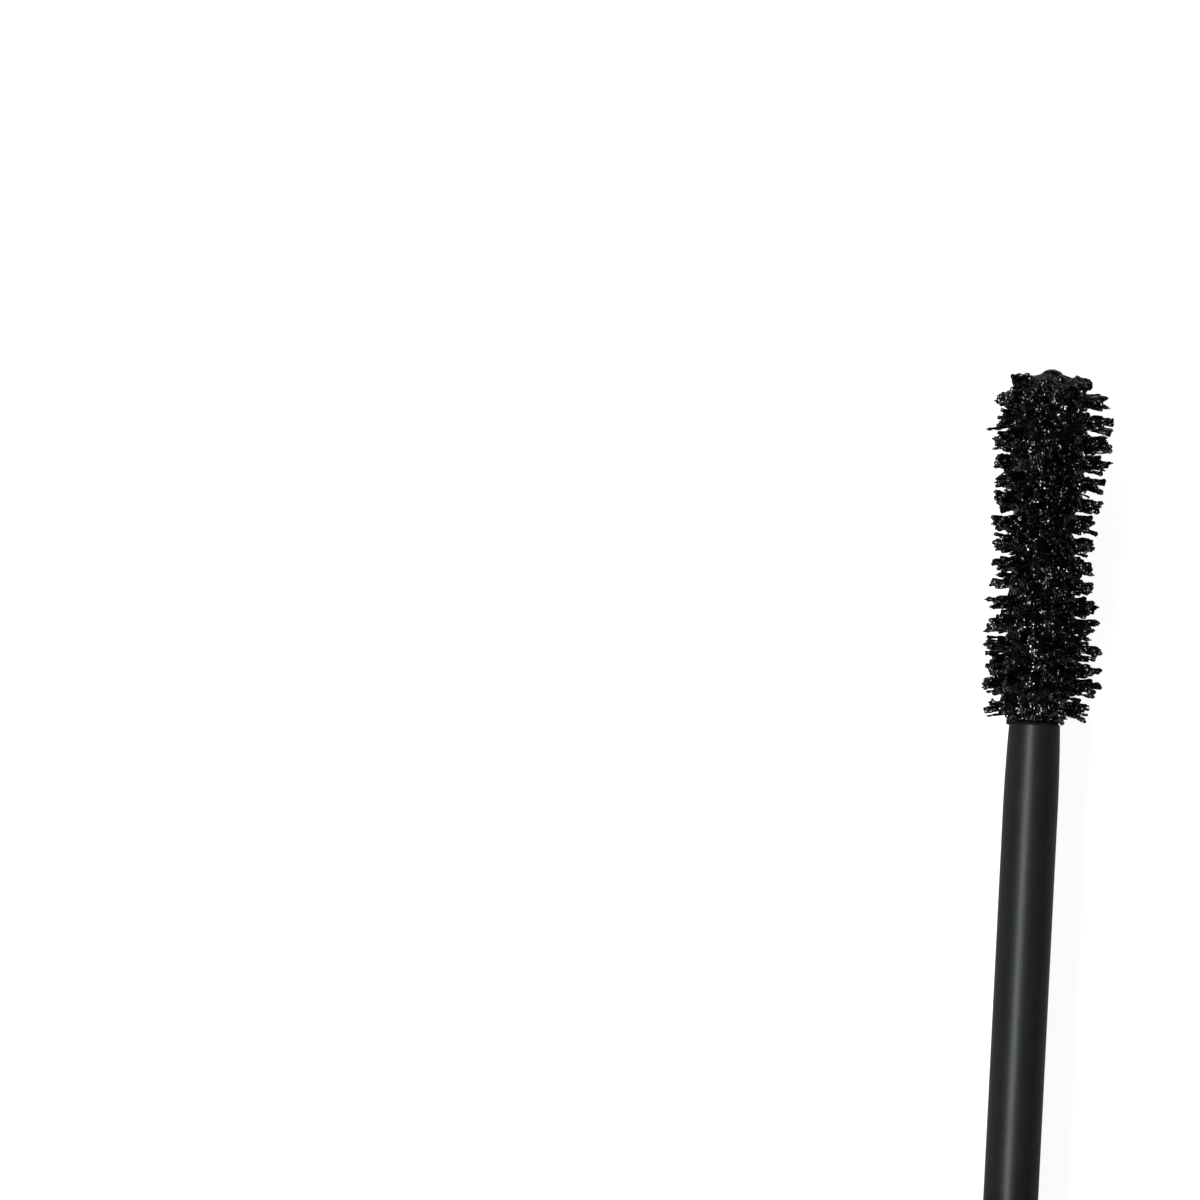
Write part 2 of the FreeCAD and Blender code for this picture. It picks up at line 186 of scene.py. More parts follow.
# The brush's paste is cut into closed lengths, and lumps lie on them, over their seams and round the stem
SECTIONS = 6
SECTION_OVERRUN = 0.03
SECTION_LAP = 0.25
LAP_SHARE = 0.8
LATHE_STEP = 0.12
LATHE_START = 0.02
LATHE_SIDES = 72
LUMPS = 110
LUMPS_FROM, LUMPS_INSET = 0.6, 0.3
LUMP_RISE = (-0.1, 0.55)
LUMP_RADIUS = (0.12, 0.25)
SEAM_LUMPS = 70
SEAM_JITTER = 0.10
SEAM_RISE = (-0.10, 0.12)
SEAM_LUMP_RADIUS = (0.14, 0.26)
FRINGE_LUMPS = 80
FRINGE_DROOP = 0.6
FRINGE_PLACE = (-0.5, -0.22)
FRINGE_RISE = (0.0, 0.14)
FRINGE_LUMP_RADIUS = (0.11, 0.21)

# What turns the gathered tubes and balls into one mass of paste
VOXEL = 0.08
SMOOTH_FACTOR, SMOOTH_PASSES = 0.5, 2
LUMP_SIZE, LUMP_RELIEF = 0.45, 0.14
GRAIN_SIZE, GRAIN_RELIEF = 0.16, 0.12

# The stage. The floor glows brightly to the camera and only a little to the object.
FLOOR_RADIUS_M = 30.0
FLOOR_SIDES = 96
FLOOR_GAP = 0.02
FLOOR_GLOW = 0.98
FLOOR_BOUNCE = 0.10
HORIZON, HORIZON_HEIGHT = (0.95, 0.95, 0.95), 0.02
STUDIO_DARK, STUDIO_DARK_HEIGHT = (0.035, 0.035, 0.037), 0.09
# The lamps: place and size in metres, radiance and tint. A long cool strip makes the stem's highlight, two dim
# fills lie beyond the ends, and four small lamps make the paste and the ends sparkle.
LIGHT_TARGET_M = (0, -0.02, 0.008)
WHITE = (1, 1, 1)
LAMPS = {
    "key_strip": ((-0.19, -0.02, 0.50), (1.1, 0.105), 28.0, (0.92, 0.97, 1.0)),
    "head_fill": ((0.15, 1.3, 0.95), (1.0, 0.7), 0.25, WHITE),
    "foot_fill": ((-0.10, -1.3, 0.95), (1.0, 0.7), 0.25, WHITE),
    "spark_1": ((-0.16, 0.52, 0.33), (0.06, 0.06), 30.0, WHITE),
    "spark_2": ((0.10, 0.56, 0.30), (0.06, 0.06), 30.0, WHITE),
    "spark_3": ((-0.10, -0.60, 0.33), (0.06, 0.06), 30.0, WHITE),
    "spark_4": ((0.14, -0.56, 0.30), (0.06, 0.06), 30.0, WHITE),
}

low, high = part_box("stem")
AXIS_Z = (low.z + high.z) / 2 / MM
TIP_Y = high.y / MM + BRUSH_LENGTH


def on_brush(from_tip, angle, radius):
    """A place on the brush, in millimetres from the frame's origin."""
    return np.array([radius * math.cos(angle), TIP_Y - from_tip, AXIS_Z + radius * math.sin(angle)])


def outline(from_tip):
    """How far the bristles reach at a distance from the tip."""
    swing = math.cos(FULL_TURN * (from_tip - FIRST_LOBE) / (SECOND_LOBE - FIRST_LOBE))
    reach = WAIST_RADIUS + (LOBE_RADIUS - WAIST_RADIUS) * (1 + swing) / 2
    tip_cut = min(1.0, TIP_CUT + TIP_CUT_GAIN * max(0.0, from_tip - FIRST_ROW))
    stem_cut = min(1.0, STEM_CUT + STEM_CUT_GAIN * max(0.0, BRUSH_LENGTH - from_tip))
    return reach * tip_cut * stem_cut


# Mesh making


class Shape:
    """Vertices and faces of many closed solids, gathered before they become one mesh."""

    def __init__(self):
        self.points = []
        self.faces = []

    def close(self, start, sides, pole, flip):
        """Closes the ring that begins at start with a fan to the pole."""
        self.points.append(pole)
        last = len(self.points) - 1
        for side in range(sides):
            pair = (start + side, start + (side + 1) % sides)
            self.faces.append((*(pair[::-1] if flip else pair), last))

    def tube(self, centres, radii, sides=TUBE_SIDES, spin=0.0, rough=0.0, chance=None):
        """A closed tube with round ends along the centres, with one radius for each."""
        centres = np.asarray(centres, float)
        along = np.gradient(centres, axis=0)
        along /= np.linalg.norm(along, axis=1)[:, None]
        across = np.cross(along, NEVER_ALONG)
        across /= np.linalg.norm(across, axis=1)[:, None]
        up = np.cross(along, across)
        first = len(self.points)
        for centre, a, b, radius in zip(centres, across, up, radii):
            for side in range(sides):
                turn = spin + FULL_TURN * side / sides
                size = radius * (1 + rough * chance.uniform(-1, 1)) if rough else radius
                self.points.append(centre + size * (a * math.cos(turn) + b * math.sin(turn)))
        for ring in range(len(centres) - 1):
            for side in range(sides):
                here = first + ring * sides + side
                beside = first + ring * sides + (side + 1) % sides
                self.faces.append((here, beside, beside + sides, here + sides))
        last = first + (len(centres) - 1) * sides
        self.close(first, sides, centres[0] - along[0] * radii[0] * POLE, True)
        self.close(last, sides, centres[-1] + along[-1] * radii[-1] * POLE, False)

    def lathe(self, heights, radius_at):
        """A closed solid round the brush's axis; radius_at gives the radius at a distance and an angle."""
        first = len(self.points)
        for from_tip in heights:
            for side in range(LATHE_SIDES):
                angle = FULL_TURN * side / LATHE_SIDES
                self.points.append(on_brush(from_tip, angle, radius_at(from_tip, angle)))
        for ring in range(len(heights) - 1):
            for side in range(LATHE_SIDES):
                here = first + ring * LATHE_SIDES + side
                beside = first + ring * LATHE_SIDES + (side + 1) % LATHE_SIDES
                self.faces.append((here, here + LATHE_SIDES, beside + LATHE_SIDES, beside))
        for ring, flip in ((0, False), (len(heights) - 1, True)):
            self.close(first + ring * LATHE_SIDES, LATHE_SIDES, on_brush(heights[ring], 0, 0), flip)

    def ball(self, centre, radius, chance):
        """A lumpy closed blob."""
        offset = Vector([chance.uniform(-1, 1) for _ in range(3)]).normalized()
        step = np.array(offset) * radius * BALL_HALF_LENGTH
        steps = np.linspace(-1, 1, BALL_RINGS)
        widths = radius * np.sqrt(1 - (steps * BALL_END) ** 2)
        self.tube([centre + step * s for s in steps], widths, rough=BALL_ROUGH, chance=chance)

    def mesh(self, name):
        data = bpy.data.meshes.new(name)
        data.from_pydata([tuple(p * MM) for p in self.points], [], self.faces)
        data.validate()
        return data


def add_piece(name, data, material, body):
    piece = bpy.data.objects.new(name, data)
    bpy.context.scene.collection.objects.link(piece)
    data.materials.clear()
    data.materials.append(material)
    data.shade_smooth()
    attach(piece, body)
    return piece


def with_modifiers(name, data, *settings):
    """The mesh after a stack of modifiers, each given as (type, {property: value})."""
    carrier = bpy.data.objects.new(name, data)
    bpy.context.scene.collection.objects.link(carrier)
    for kind, values in settings:
        modifier = carrier.modifiers.new(kind.lower(), kind)
        for key, value in values.items():
            setattr(modifier, key, value)
    graph = bpy.context.evaluated_depsgraph_get()
    result = bpy.data.meshes.new_from_object(carrier.evaluated_get(graph))
    bpy.data.objects.remove(carrier)
    result.name = name
    return result


def relief(name, size, depth):
    """Settings of a modifier that raises and lowers a surface in clouds of that size."""
    texture = bpy.data.textures.new(name, "CLOUDS")
    texture.noise_scale = size * MM
    texture.noise_depth = 2
    return {"texture": texture, "texture_coords": "LOCAL", "strength": depth * MM, "mid_level": 0.5}


def drop_crumbs(data):
    """Leaves only the largest connected mass of a mesh."""
    form = bmesh.new()
    form.from_mesh(data)
    form.verts.ensure_lookup_table()
    left, largest = set(range(len(form.verts))), set()
    while left:
        start = min(left)
        island, front = {start}, [start]
        while front:
            for edge in form.verts[front.pop()].link_edges:
                for vertex in edge.verts:
                    if vertex.index not in island:
                        island.add(vertex.index)
                        front.append(vertex.index)
        left -= island
        largest = max(largest, island, key=len)
    crumbs = [vertex for vertex in form.verts if vertex.index not in largest]
    bmesh.ops.delete(form, geom=crumbs, context="VERTS")
    form.to_mesh(data)
    form.free()


# Materials


class Finish:
    """One Principled material, with short calls for the procedural nodes that feed it."""

    def __init__(self, name, **values):
        self.material = bpy.data.materials.new(name)
        self.material.use_nodes = True
        self.tree = self.material.node_tree
        self.shader = self.tree.nodes["Principled BSDF"]
        for key, value in values.items():
            self.shader.inputs[key.replace("_", " ")].default_value = value
        self.place = self.add("ShaderNodeTexCoord").outputs["Object"]
        self.bump_normal = None
        self.shader.inputs["Subsurface Radius"].default_value = (1, 1, 1)

    def add(self, kind, **values):
        node = self.tree.nodes.new(kind)
        for key, value in values.items():
            if hasattr(node, key):
                setattr(node, key, value)
            else:
                node.inputs[key.replace("_", " ")].default_value = value
        return node

    def link(self, source, target):
        self.tree.links.new(source, target)

    def math(self, operation, a, b):
        node = self.add("ShaderNodeMath", operation=operation)
        for value, socket in zip((a, b), node.inputs):
            if isinstance(value, (int, float)):
                socket.default_value = value
            else:
                self.link(value, socket)
        return node.outputs[0]

    def noise(self, size, detail=3.0, roughness=0.55, stretch=None):
        """Noise with features of that size in millimetres; stretch lengthens it along each axis."""
        node = self.add("ShaderNodeTexNoise", Scale=1 / (size * MM), Detail=detail, Roughness=roughness)
        place = self.place
        if stretch:
            mapping = self.add("ShaderNodeMapping")
            mapping.inputs["Scale"].default_value = [1 / s for s in stretch]
            self.link(place, mapping.inputs["Vector"])
            place = mapping.outputs[0]
        self.link(place, node.inputs["Vector"])
        return node.outputs["Fac"]

    def cells(self, size):
        """Distance from the middle of each cell, for cells of that size in millimetres."""
        node = self.add("ShaderNodeTexVoronoi", Scale=1 / (size * MM))
        self.link(self.place, node.inputs["Vector"])
        return node.outputs["Distance"]

    def spread(self, source, low, high, from_low=0.3, from_high=0.7):
        """A value or colour from low to high as the source goes between its two marks."""
        ramp = self.add("ShaderNodeValToRGB")
        colours = [c if isinstance(c, tuple) else (c, c, c) for c in (low, high)]
        for element, mark, colour in zip(ramp.color_ramp.elements, (from_low, from_high), colours):
            element.position = mark
            element.color = (*colour, 1)
        self.link(source, ramp.inputs[0])
        return ramp.outputs[0]

    def blend(self, share, first, second):
        """Between two colours or colour outputs by a share."""
        node = self.add("ShaderNodeMix", data_type="RGBA")
        self.link(share, node.inputs[0])
        for value, socket in zip((first, second), (node.inputs[6], node.inputs[7])):
            if isinstance(value, tuple):
                socket.default_value = (*value, 1)
            else:
                self.link(value, socket)
        return node.outputs[2]

    def bump(self, source, depth):
        """Adds relief of that depth in millimetres on top of what is there."""
        node = self.add("ShaderNodeBump", Distance=depth * MM, Strength=1.0)
        self.link(source, node.inputs["Height"])
        if self.bump_normal:
            self.link(self.bump_normal, node.inputs["Normal"])
        self.bump_normal = node.outputs[0]
        self.link(self.bump_normal, self.shader.inputs["Normal"])

    def drive(self, **sources):
        for key, source in sources.items():
            self.link(source, self.shader.inputs[key.replace("_", " ")])

    def from_axis(self):
        """Distance from the common axis, in millimetres."""
        shifted = self.add("ShaderNodeVectorMath", operation="SUBTRACT")
        shifted.inputs[1].default_value = (0, 0, AXIS_Z * MM)
        self.link(self.place, shifted.inputs[0])
        flat = self.add("ShaderNodeVectorMath", operation="MULTIPLY")
        flat.inputs[1].default_value = (1 / MM, 0, 1 / MM)
        self.link(shifted.outputs[0], flat.inputs[0])
        length = self.add("ShaderNodeVectorMath", operation="LENGTH")
        self.link(flat.outputs[0], length.inputs[0])
        return length.outputs["Value"]


def paste_finish():
    """Wet mascara: near black, lumpy, glossy in tiny facets, with a faint olive-brown cast where it is thin."""
    f = Finish("mascara_paste", IOR=1.5, Specular_IOR_Level=0.05, Coat_Roughness=0.045, Coat_IOR=1.8)
    thick, thin = (0.0002, 0.0002, 0.0002), (0.0018, 0.0017, 0.0010)
    f.drive(
        Base_Color=f.spread(f.noise(0.9, 4), thick, thin, 0.40, 0.75),
        Roughness=f.spread(f.noise(0.35, 3), 0.14, 0.34),
        Coat_Weight=f.spread(f.noise(0.18, 2), 0.0, 1.0, 0.52, 0.60),
    )
    f.bump(f.noise(0.50, 2, 0.5), 0.06)
    f.bump(f.noise(0.13, 2, 0.5), 0.026)
    return f.material


def fibre_finish():
    """Nylon fibre with a thin uneven coat of paste."""
    f = Finish("coated_fibre", IOR=1.40, Coat_Weight=0.2, Coat_Roughness=0.15)
    coated, bare = (0.0012, 0.0012, 0.0012), (0.0060, 0.0052, 0.0036)
    f.drive(
        Base_Color=f.spread(f.noise(0.3, 3), coated, bare),
        Roughness=f.spread(f.noise(0.2, 2), 0.25, 0.5),
    )
    f.bump(f.noise(0.08, 3), 0.015)
    return f.material


def stem_finish():
    """Satin black moulded plastic with a fine grain."""
    f = Finish("satin_black_stem", IOR=1.49, Specular_IOR_Level=0.17)
    deep, worn = (0.0052, 0.0055, 0.0060), (0.0068, 0.0071, 0.0077)
    f.drive(
        Base_Color=f.spread(f.noise(1.4, 4), deep, worn),
        Roughness=f.spread(f.noise(0.12, 3, 0.6), 0.34, 0.42),
    )
    f.bump(f.noise(0.07, 3, 0.6), 0.004)
    f.bump(f.noise(0.5, 2, 0.5, (1, 14, 1)), 0.004)
    return f.material


def soft_touch_finish():
    """Soft-touch black lacquer: a fine pebble, a little sheen, and paler handling marks."""
    f = Finish("soft_touch_black", IOR=1.46, Sheen_Weight=0.12, Sheen_Roughness=0.45)
    lacquer, handled = (0.012, 0.012, 0.0128), (0.0175, 0.0175, 0.0182)
    f.drive(
        Base_Color=f.spread(f.noise(7.0, 5, 0.62, (1, 2.4, 1)), lacquer, handled),
        Roughness=f.spread(f.noise(2.2, 6, 0.65), 0.40, 0.56),
    )
    f.bump(f.noise(0.14, 3, 0.6), 0.006)
    f.bump(f.cells(0.09), 0.003)
    return f.material


def collar_finish():
    """Gunmetal anodised aluminium, brushed round the axis."""
    f = Finish("gunmetal_brushed", Metallic=1.0, Anisotropic=0.6)
    lines = f.noise(0.9, 4, 0.7, (6, 0.05, 6))
    groove, crest = (0.17, 0.165, 0.16), (0.30, 0.29, 0.28)
    f.drive(Base_Color=f.spread(lines, groove, crest, 0.25, 0.75), Roughness=f.spread(lines, 0.24, 0.38))
    f.bump(lines, 0.004)
    f.bump(f.noise(0.05, 2), 0.0015)
    return f.material


def disc_finish():
    """The same metal, spun in rings."""
    f = Finish("gunmetal_spun", Metallic=1.0)
    rings = f.add("ShaderNodeTexNoise", noise_dimensions="1D", Scale=1.0, Detail=3.0, Roughness=0.6)
    rings_per_mm = 2.6
    f.link(f.math("MULTIPLY", f.from_axis(), rings_per_mm), rings.inputs["W"])
    lines = rings.outputs["Fac"]
    groove, crest = (0.13, 0.127, 0.124), (0.42, 0.41, 0.40)
    f.drive(
        Base_Color=f.spread(lines, groove, crest, 0.35, 0.65),
        Roughness=f.spread(f.noise(1.5, 4), 0.20, 0.32),
    )
    f.bump(lines, 0.02)
    return f.material


def vial_finish():
    """Smoky moulded polypropylene, with dried smears of paste round the neck."""
    f = Finish("smoky_vial", IOR=1.49, Subsurface_Weight=0.15, Subsurface_Scale=1.2 * MM)
    dried = (0.004, 0.004, 0.004)
    smears = f.spread(f.noise(1.1, 5, 0.65, (1, 1.8, 1)), 0.0, 1.0, 0.60, 0.68)
    body = f.spread(f.noise(3.0, 3), (0.040, 0.037, 0.036), (0.060, 0.056, 0.054))
    f.drive(Base_Color=f.blend(smears, body, dried), Roughness=f.spread(f.noise(0.4, 4), 0.22, 0.36))
    f.bump(smears, 0.03)
    f.bump(f.noise(0.25, 3), 0.006)
    return f.material


def wiper_finish():
    """Waxy polyethylene, smeared with paste inside an uneven edge round its bore."""
    f = Finish("waxy_wiper", IOR=1.51, Subsurface_Weight=0.35, Subsurface_Scale=1.0 * MM)
    # The edge wanders by up to edge_wander in millimetres, and is turned into centimetres to fit the ramp's 0 to 1
    edge_wander, to_cm = 2.0, 0.1
    smear = (0.004, 0.004, 0.0038)
    edge = f.math("ADD", f.from_axis(), f.math("MULTIPLY", f.noise(2.6, 3, 0.5), edge_wander))
    paste = f.spread(f.math("MULTIPLY", edge, to_cm), 1.0, 0.0, 0.435, 0.485)
    wax = f.spread(f.noise(1.6, 3), (0.62, 0.60, 0.55), (0.74, 0.72, 0.67))
    f.drive(Base_Color=f.blend(paste, wax, smear), Roughness=f.spread(f.noise(0.3, 3), 0.24, 0.42))
    f.bump(paste, 0.06)
    f.bump(f.noise(0.2, 4), 0.012)
    return f.material


def liner_finish():
    """Moulded black polypropylene inside the cap."""
    f = Finish("liner_black", IOR=1.49)
    f.drive(
        Base_Color=f.spread(f.noise(2.0, 4), (0.018, 0.018, 0.019), (0.028, 0.028, 0.029)),
        Roughness=f.spread(f.noise(0.3, 3), 0.30, 0.45),
    )
    f.bump(f.noise(0.15, 3), 0.006)
    return f.material


def foam_finish():
    """White closed-cell foam with a fine cell pattern and a few paste marks."""
    f = Finish("washer_foam", IOR=1.45, Subsurface_Weight=0.2, Subsurface_Scale=0.8 * MM)
    marks = f.spread(f.noise(0.8, 4, 0.6), 0.0, 1.0, 0.62, 0.66)
    white = f.spread(f.cells(0.18), (0.60, 0.59, 0.56), (0.78, 0.77, 0.74), 0.0, 0.6)
    mark = (0.01, 0.01, 0.01)
    f.drive(Base_Color=f.blend(marks, white, mark), Roughness=f.spread(f.noise(0.5, 2), 0.6, 0.8))
    f.bump(f.cells(0.18), 0.03)
    return f.material


def label_finish():
    """Blank satin film with a faint paper tooth."""
    f = Finish("blank_label", IOR=1.46)
    f.drive(
        Base_Color=f.spread(f.noise(0.6, 5, 0.6), (0.66, 0.65, 0.62), (0.74, 0.73, 0.70)),
        Roughness=f.spread(f.noise(0.25, 3), 0.38, 0.52),
    )
    f.bump(f.noise(0.2, 4, 0.6), 0.008)
    return f.material


def steel_finish(name, size, along):
    """Bright steel with lines of that size, drawn out that much along the axis."""
    f = Finish(name, Metallic=1.0)
    lines = f.noise(size, 4, 0.7, (1, along, 1))
    f.drive(
        Base_Color=f.spread(lines, (0.42, 0.41, 0.40), (0.62, 0.61, 0.60)),
        Roughness=f.spread(lines, 0.22, 0.40),
    )
    f.bump(lines, 0.003)
    return f.material


def floor_finish():
    """A pale table, as bright to the eye as a lit white sweep, that throws only a soft grey back on the object."""
    f = Finish("pale_floor", Specular_IOR_Level=0.0, Roughness=0.8)
    glow = f.spread(f.noise(120.0, 3), (0.94, 0.94, 0.94), (0.97, 0.97, 0.97))
    table = f.spread(f.noise(60.0, 3), (0.14, 0.14, 0.14), (0.16, 0.16, 0.16))
    f.drive(Base_Color=table, Emission_Color=glow)
    seen = f.add("ShaderNodeLightPath").outputs["Is Camera Ray"]
    extra = f.math("MULTIPLY", seen, FLOOR_GLOW - FLOOR_BOUNCE)
    f.link(f.math("ADD", extra, FLOOR_BOUNCE), f.shader.inputs["Emission Strength"])
    return f.material


# The paste-loaded brush


def near_stem(from_tip):
    """From 0 along most of the brush to 1 at the stem."""
    return max(0.0, 1 - (BRUSH_LENGTH - from_tip) / STEM_SPAN)


def tuft_lean(from_tip):
    """How far the tufts' ends lie towards the stem from their roots: more at the tip, and less at the stem."""
    near_tip = max(0.0, 1 - from_tip / TIP_SPAN)
    return LEAN + LEAN_AT_STEM * near_stem(from_tip) + LEAN_AT_TIP * near_tip


def waved(radius, waves, from_tip, angle):
    """A radius with waves added, which run round the axis."""
    for height, count, drift, start in waves:
        radius += height * math.sin(count * angle + drift * from_tip + start)
    return radius


def core_radius(from_tip, angle):
    """The near-solid mass of paste round the wire, uneven, with a ridge under each row."""
    swell = waved(0.0, CORE_WAVES, from_tip, angle)
    ridge = ROW_RIDGE * math.cos(ROWS * (angle - FULL_TURN * (from_tip - FIRST_ROW) / TWIST_PITCH))
    body = CORE_SHARE * outline(from_tip) + CORE_EXTRA + swell + ridge
    rise = min(1.0, from_tip / DOME_HEIGHT)
    dome = DOME_RADIUS * math.sqrt(rise * (2 - rise))
    widen = min(1.0, max(0.0, (from_tip - SHOULDER_FROM) / SHOULDER_SPAN))
    free = dome + (body - dome) * widen**2 * (3 - 2 * widen)
    neck = min(1.0, max(0.0, (BRUSH_LENGTH - from_tip) / COLLAR_SPAN))
    collar = waved(STEM_END + COLLAR_RISE, COLLAR_WAVES, from_tip, angle)
    return max(CORE_MIN, collar + (free - collar) * math.sqrt(neck))


class Tuft:
    """One clump of bristles: a webbed root, then strands of paste side by side, each with a blunt knob at its end."""

    def __init__(self, from_tip, angle, chance):
        self.from_tip = from_tip
        self.chance = chance
        self.angle = angle + math.radians(chance.gauss(0, ANGLE_JITTER_DEG))
        side = max(PRESSED_FROM_COS, -math.cos(self.angle))
        self.reach = min(outline(from_tip), PRESSED_REACH / side) - abs(chance.gauss(0, REACH_JITTER))
        self.lean = tuft_lean(from_tip) + chance.gauss(0, LEAN_JITTER)
        self.bend = math.radians(chance.gauss(0, BEND_JITTER_DEG))
        self.squeeze = min(1.0, SQUEEZE_AT_TIP + SQUEEZE_GAIN * from_tip)
        wider = 1 + STEM_WIDENING * near_stem(from_tip)
        self.thickness = ROW_THICKNESS * self.squeeze * chance.uniform(*THICKNESS_SPREAD) * wider
        earlier = FORK_EARLIER_AT_STEM * near_stem(from_tip)
        self.fork = min(FORK_FROM - earlier + chance.uniform(*FORK_SPREAD), self.reach - PRONG_MIN)

    def spot(self, radius, aside=0.0, along=0.0):
        """A place in the tuft, which leans, bends and fans out as it goes outwards."""
        share = (radius - TUFT_ROOT) / max(SPAN_MIN, self.reach - TUFT_ROOT)
        place = self.from_tip + self.lean * share**LEAN_CURVE + along * (FAN_AT_ROOT + FAN_GAIN * share)
        return on_brush(place, self.angle + self.bend * share**2 + aside * share / radius, radius)

    def add_trunk(self, paste):
        chance = self.chance
        trunk = np.linspace(TUFT_ROOT, self.fork, TRUNK_RINGS)
        slim = max(SLIM_MIN, self.squeeze) * (1 - TRUNK_SLIMMING * near_stem(self.from_tip))
        widths = [chance.uniform(*TRUNK_RADIUS) * slim for _ in trunk]
        line = [self.spot(r) for r in trunk]
        paste.tube(line, widths, TUBE_SIDES, chance.random(), TRUNK_ROUGH, chance)

    def add_strands(self, paste, fibres):
        chance = self.chance
        count = chance.choice(STRAND_COUNTS)
        longest = chance.randrange(count)
        for strand in range(count):
            along = ((strand + chance.uniform(*STRAND_PLACE)) / count - 0.5) * self.thickness
            aside = chance.gauss(0, STRAND_ASIDE)
            end = self.reach
            if strand != longest:
                shortfall = abs(chance.gauss(SHORTFALL_MEAN, SHORTFALL_SPREAD))
                end = max(self.fork + STRAND_MIN, self.reach - shortfall)
            steps = np.linspace(TUFT_ROOT + STRAND_FROM_ROOT, end, len(STRAND_TAPER))
            thick = chance.uniform(*STRAND_RADIUS) * (1 - STRAND_SLIMMING * near_stem(self.from_tip))
            if self.from_tip < FIRST_ROW + HEAVY_ROWS:
                thick *= HEAVIER
            sizes = [thick * s * chance.uniform(*STRAND_UNEVEN) for s in STRAND_TAPER]
            line = [self.spot(r, aside, along) for r in steps]
            paste.tube(line, sizes, TUBE_SIDES, chance.random(), STRAND_ROUGH, chance)
            if chance.random() < CLOT_CHANCE:
                radius = chance.uniform(self.fork, end)
                beside = (aside + chance.gauss(0, CLOT_OFFSET), along + chance.gauss(0, CLOT_OFFSET))
                paste.ball(self.spot(radius, *beside), chance.uniform(*CLOT_RADIUS), chance)
            if chance.random() < BARE_CHANCE:
                bare_end = min(end + chance.uniform(*BARE_LENGTH), BARE_LIMIT)
                bare = np.linspace(end - BARE_BURIED, bare_end, BARE_RINGS)
                thin = FIBRE_RADIUS * chance.uniform(*BARE_WIDTH)
                fibres.tube([self.spot(r, aside, along) for r in bare], [thin] * BARE_RINGS, FIBRE_SIDES)

    def add_stray(self, fibres):
        """A single fibre that curls away from the tuft."""
        chance = self.chance
        end = self.reach - chance.uniform(*STRAY_SHORTFALL)
        stray = np.linspace(self.fork - STRAY_BURIED, end, STRAY_RINGS)
        drift = chance.choice((-1, 1)) * chance.uniform(*STRAY_DRIFT)
        curl = np.sin(np.linspace(0, STRAY_CURL, STRAY_RINGS))
        thin = [FIBRE_RADIUS * chance.uniform(*STRAY_WIDTH) for _ in stray]
        fibres.tube([self.spot(r, drift * c, drift * c) for r, c in zip(stray, curl)], thin, FIBRE_SIDES)


def add_tufts(pastes, fibres, chance):
    """The winding rows, each tuft in the length of paste that its root is in."""
    span = BRUSH_LENGTH / SECTIONS
    steps = int((BRUSH_LENGTH - LAST_ROW_INSET - FIRST_ROW) / TWIST_PITCH * TUFTS_PER_TURN)
    for step in range(steps):
        for row in range(ROWS):
            from_tip = FIRST_ROW + TWIST_PITCH * step / TUFTS_PER_TURN
            angle = FULL_TURN * step / TUFTS_PER_TURN + math.pi * row
            paste = pastes[min(SECTIONS - 1, int(from_tip / span))]
            tuft = Tuft(from_tip, angle, chance)
            tuft.add_trunk(paste)
            tuft.add_strands(paste, fibres)
            if chance.random() < STRAY_CHANCE:
                tuft.add_stray(fibres)


def add_core(paste, number, chance):
    """One length of the core, with lumps on it and over the seam to the next length."""
    span = BRUSH_LENGTH / SECTIONS
    own = (number * span - SECTION_OVERRUN, (number + 1) * span + SECTION_OVERRUN)
    first = own[0] - (SECTION_LAP if number else 0)
    last = own[1] + SECTION_LAP

    def lapped(from_tip, angle):
        """Full inside the section's own length, and buried in its neighbour beyond it."""
        return core_radius(from_tip, angle) * (1.0 if own[0] <= from_tip <= own[1] else LAP_SHARE)

    def add_lump(from_tip, rise, size):
        angle = chance.uniform(0, FULL_TURN)
        radius = core_radius(from_tip, angle) + chance.uniform(*rise)
        paste.ball(on_brush(from_tip, angle, radius), chance.uniform(*size), chance)

    paste.lathe(np.arange(max(LATHE_START, first), last, LATHE_STEP), lapped)
    for _ in range(LUMPS):
        place = chance.uniform(max(LUMPS_FROM, first), min(last, BRUSH_LENGTH - LUMPS_INSET))
        add_lump(place, LUMP_RISE, LUMP_RADIUS)
    if number < SECTIONS - 1:
        for _ in range(SEAM_LUMPS):
            add_lump(own[1] + chance.gauss(0, SEAM_JITTER), SEAM_RISE, SEAM_LUMP_RADIUS)


def add_fringe(paste, chance):
    """Lumps that hug the stem's end, and droop over it at its sides."""
    for _ in range(FRINGE_LUMPS):
        angle = chance.uniform(0, FULL_TURN)
        droop = FRINGE_DROOP * math.cos(angle) ** 2 * chance.random()
        from_tip = BRUSH_LENGTH + chance.uniform(*FRINGE_PLACE) + droop
        place = on_brush(from_tip, angle, STEM_END + chance.uniform(*FRINGE_RISE))
        paste.ball(place, chance.uniform(*FRINGE_LUMP_RADIUS), chance)


